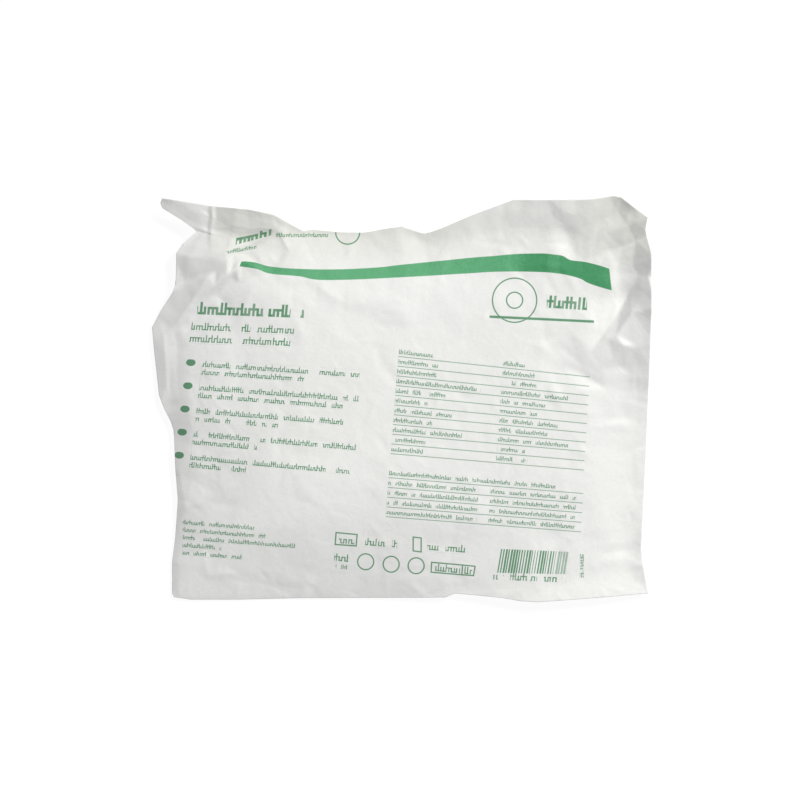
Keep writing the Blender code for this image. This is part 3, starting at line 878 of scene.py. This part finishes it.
def ovals(names):
    """A filled oval before each paragraph: 1 - (x / a)^2 - (y / b)^2 over zero"""
    count = len(NAME_ENDS) / PARAGRAPH
    depth = names.down * count
    turn = depth - math_node("FLOOR", depth) - OVAL_PLACE[1]
    x = (names.across - OVAL_PLACE[0]) * (names.width / OVAL_HALF[0])
    y = turn * (names.height / count / OVAL_HALF[1])
    return over(1 - (x * x + y * y), 0, 0.2) * within(names.down, 0, 1, 0.01)


def bars(patch):
    """One upright bar in each of some equal cells, as wide as a scattered share of it"""
    depth = patch.across * BAR_COUNT
    cell = math_node("FLOOR", depth)
    share, _, _ = scatter(cell, BAR_CHANCE)
    inside = within(patch.across, 0, 1, 0.005) * within(patch.down, 0, 1, 0.02)
    faded = 1 - over(patch.across, FADED_FROM, FADED_SOFT) * FADED_BY
    return over(share * BAR_SPREAD + BAR_THINNEST, depth - cell, 0.2) * inside * faded


def printed_marks(place):
    """Ovals, rings, boxes, rule and bars"""
    rings = [ring_line(place, *ring) for ring in RINGS]
    half_ring = ring_line(place, *CUT_RING) * over(CUT_RING_TOP - place[1], 0)
    boxes = [Patch(place, *box).frame(LINE_WEIGHT) for box in BOXES]
    rule = Patch(place, *STRAIGHT_RULE)
    line = within(rule.down, 0, 1, 0.3) * within(rule.across, 0, 1, 0.004)
    others = [ovals(Patch(place, *NAMES)), bars(Patch(place, *BARS))]
    return strongest([*rings, half_ring, *boxes, line, *others])


# %% [markdown]
# The green band is a plain tapered stripe between two curves. The ink is denser towards
# its right end, and darker with painted shade in the puckers that cross it; it is finely
# speckled all over.

# %% The band
BAND_TOP = ((90, 337), (93, 341.5), (101, 341), (120, 336.5), (150, 334), (180, 333.5), (220, 335),
            (250, 338), (290, 342), (340, 346.5), (390, 349), (402, 348), (410, 347), (421, 342),
            (430, 341), (440, 339), (461, 332.5))
BAND_FOOT = ((90, 336.5), (106, 334), (122, 329), (150, 326.5), (170, 323), (190, 323), (250, 325.5),
             (320, 329.5), (350, 331), (390, 330.5), (407, 329), (420, 326.5), (430, 323.5),
             (436, 320), (461, 312))
BAND_END = ((458, 333.5), (460.5, 312))
# ink density along the band: denser towards the right end; its rises where puckers cross the band are
# painted shade
BAND_DENSITY_AND_SHADE = ((90, 0.75), (103, 0.5), (110, 0.05), (200, 0), (318, 0.1), (340, 0.15), (366, 0.35),
                (385, 0.95), (395, 0.9), (400, 0.55), (408, 0.6), (412, 1), (424, 0.95), (440, 0.9),
                (461, 0.6))


def band(place):
    """Where the band is, and how dense its ink is there, with painted shade in its puckers"""
    u, v = place
    (u0, v0), (u1, v1) = BAND_END
    inside = over(u, BAND_TOP[0][0]) * over(0, u - u0 + (v - v0) * ((u0 - u1) / (v1 - v0)))
    inside = inside * over(curve_of(u, BAND_TOP), v) * over(v, curve_of(u, BAND_FOOT))
    return inside, curve_of(u, BAND_DENSITY_AND_SHADE)


# %% [markdown]
# Medical paper is a dense, slightly glossy sheet. It is never one white: fibres lie in
# clouds of a millimetre or two, and handling leaves faint grey and yellow areas. The
# margin at the head and the top right corner are greyed with painted shade, a grey
# multiplied into the colour there. Under a low lamp the sheet's fine crinkles show, which
# are too small for the mesh and are bump.

# %% The paper
PAPER = (0.83, 0.833, 0.81, 1)
ROUGHNESS, SPECULAR = 0.62, 0.35
CLOUD_SIZE, CLOUDS = 1.6 * MM, ((0.94, 0.94, 0.94, 1), (1.03, 1.03, 1.03, 1))
AREA_SIZE, AREAS = 60 * MM, ((0.975, 0.98, 0.965, 1), (1.02, 1.015, 1.03, 1))
FIBRE_SIZE, FIBRE_HEIGHT = 0.6 * MM, 0.12              # heights are shares of the bump's
CRINKLE_SIZE, CRINKLE_HEIGHT, CRINKLE_SHARPNESS = 7 * MM, 0.5, 5
BUMP_STRENGTH, BUMP_HEIGHT = 0.5, 0.25 * MM
# painted shade: a grey multiplied into the head margin and the top right corner
PAINTED_SHADE_GREY = (0.85, 0.85, 0.82, 1)
PAINTED_SHADE_FROM, PAINTED_SHADE_FADE = 348, 44                   # up the grid
PAINTED_SHADE_ALONG = ((60, 0), (85, 0.9), (115, 0.8), (150, 1), (270, 1), (340, 0.3), (420, 0.25),
                 (455, 0.9), (495, 1))
BAND_INK, DENSE_AND_SHADED_BAND_INK = (0.115, 0.475, 0.22, 1), (0.04, 0.335, 0.125, 1)
TEXT_INK = (0.045, 0.235, 0.095, 1)
BAND_COVER, MARKS_COVER = 0.97, 0.9
SPECKLE_SIZE, SPECKLE = 1.2 * MM, 1.1                  # how far specks change the density


def noise(size, detail=2.0, roughness=0.5, distortion=0.0):
    """A noise field of the paper's own place, with features of a size in metres"""
    place = Field(new_node("TexCoord", {}).outputs["Object"])
    node = new_node("TexNoise", {"Vector": place, "Scale": 1 / size, "Detail": detail,
                                 "Roughness": roughness, "Distortion": distortion})
    return Field(node.outputs[0])


def mix(share, first, second, blend="MIX"):
    """One colour over another"""
    node = new_node("Mix", {0: share, 6: first, 7: second}, data_type="RGBA", blend_type=blend)
    return Field(node.outputs[2])


def paper_colour():
    """White, multiplied by clouds of fibres and by faint stained areas"""
    clouds = mix(noise(CLOUD_SIZE, 3, 0.6), *CLOUDS)
    areas = mix(noise(AREA_SIZE, 2), *AREAS)
    return mix(1.0, mix(1.0, PAPER, clouds, "MULTIPLY"), areas, "MULTIPLY")


def paper_bump():
    """Fibres, and crinkles where two noises are equal: 1 - |n - 1/2|, sharpened"""
    crinkle = 1 - abs(noise(CRINKLE_SIZE, 3, 0.55, 0.6) - 0.5) * CRINKLE_SHARPNESS
    height = noise(FIBRE_SIZE, 2) * FIBRE_HEIGHT + math_node("MAXIMUM", crinkle, 0.0) * CRINKLE_HEIGHT
    node = new_node("Bump", {"Strength": BUMP_STRENGTH, "Distance": BUMP_HEIGHT, "Height": height})
    return Field(node.outputs[0])


def painted_margin_shade(colour, place):
    """The colour, greyed with painted shade in the margin at the head and towards the top right"""
    u, v = place
    share = over(v, PAINTED_SHADE_FROM, PAINTED_SHADE_FADE) * curve_of(u, PAINTED_SHADE_ALONG)
    return mix(share, colour, mix(1.0, colour, PAINTED_SHADE_GREY, "MULTIPLY"))


def print_on(colour, place):
    """The band stains the paper's own colour, text and marks cover it"""
    inside, density_and_shade = band(place)
    speckle = (noise(SPECKLE_SIZE, 2, 0.6) - 0.5) * SPECKLE
    band_ink = mix(density_and_shade + speckle, BAND_INK, DENSE_AND_SHADED_BAND_INK)
    stained = mix(inside * BAND_COVER, colour, mix(1.0, colour, band_ink, "MULTIPLY"))
    letters = math_node("MAXIMUM", printed_text(place), printed_marks(place) * MARKS_COVER)
    return mix(letters, stained, TEXT_INK)


def paper_material(name, printed):
    """The sheet's finish, with the print over its colour on the front"""
    material = bpy.data.materials.new(name)
    material.use_nodes = True
    Field.tree = material.node_tree
    colour = paper_colour()
    if printed:
        place = grid_place()
        # the head margin and the top right corner get painted shade before the print goes on
        colour = print_on(painted_margin_shade(colour, place), place)
    set_inputs(material.node_tree.nodes["Principled BSDF"],
               {"Base Color": colour, "Normal": paper_bump(), "Roughness": ROUGHNESS,
                "Specular IOR Level": SPECULAR})
    print(name, "has", len(material.node_tree.nodes), "nodes")
    return material


add_maps(pouch.data)
pouch.data.materials.append(paper_material("printed_paper", True))
pouch.data.materials.append(paper_material("plain_paper", False))

# %% [markdown]
# A white floor that glows by itself, so that the pouch's shadow on it stays faint, a soft
# and slightly warm lamp from the upper right, and an even, slightly cool surround.

# %% Floor, light and camera
FLOOR_SIZE, FLOOR_DROP = 6.0, 0.1 * MM
FLOOR_GREY, FLOOR_ROUGHNESS = (0.15, 0.15, 0.15, 1), 0.9
FLOOR_GLOW, FLOOR_GLOW_STRENGTH = (1, 1, 1, 1), 0.875
LAMP_DIRECTION, LAMP_DISTANCE = (0.73, 0.645, 1.39), 1.7
LAMP_SIZE, LAMP_POWER, LAMP_COLOUR = 0.5, 21.8, (1, 0.995, 0.96)
SURROUND_COLOUR, SURROUND_STRENGTH = (0.95, 0.955, 1, 1), 0.43
CAMERA_HEIGHT, SENSOR = 3.0, 36.0
VIEW_WIDTH, VIEW_PLANE = 376 * MM, 12 * MM     # width of the view, and the height where it holds


def add_floor():
    """A flat square just under the pouch"""
    half = FLOOR_SIZE / 2
    corners = [(-half, -half, 0), (half, -half, 0), (half, half, 0), (-half, half, 0)]
    mesh = bpy.data.meshes.new("floor")
    mesh.from_pydata(corners, [], [(0, 1, 2, 3)])
    floor = add_object("floor", mesh)
    floor.location.z = -FLOOR_DROP
    white = bpy.data.materials.new("floor_white")
    white.use_nodes = True
    set_inputs(white.node_tree.nodes["Principled BSDF"],
               {"Base Color": FLOOR_GREY, "Roughness": FLOOR_ROUGHNESS,
                "Emission Color": FLOOR_GLOW, "Emission Strength": FLOOR_GLOW_STRENGTH})
    mesh.materials.append(white)
    return floor


def add_lamp():
    """A square area lamp that faces the pouch"""
    lamp = bpy.data.lights.new("soft_box", "AREA")
    lamp.shape, lamp.size = "SQUARE", LAMP_SIZE
    lamp.color, lamp.energy = LAMP_COLOUR, LAMP_POWER
    holder = add_object("soft_box", lamp)
    holder.location = Vector(LAMP_DIRECTION).normalized() * LAMP_DISTANCE
    holder.rotation_euler = Vector(LAMP_DIRECTION).to_track_quat("Z", "Y").to_euler()


def add_surround():
    """Light from all sides"""
    world = bpy.data.worlds.new("surround")
    world.use_nodes = True
    set_inputs(world.node_tree.nodes["Background"],
               {"Color": SURROUND_COLOUR, "Strength": SURROUND_STRENGTH})
    bpy.context.scene.world = world


def add_camera():
    """Straight above, far away, its view VIEW_WIDTH wide at VIEW_PLANE"""
    data = bpy.data.cameras.new("camera")
    data.sensor_width = SENSOR
    data.lens = SENSOR * (CAMERA_HEIGHT - VIEW_PLANE) / VIEW_WIDTH
    camera = add_object("camera", data)
    camera.location = (0, 0, CAMERA_HEIGHT)
    bpy.context.scene.camera = camera
    print("lens", round(data.lens, 1), "mm")


add_floor()
add_lamp()
add_surround()
add_camera()
bpy.context.scene.view_settings.view_transform = "Standard"
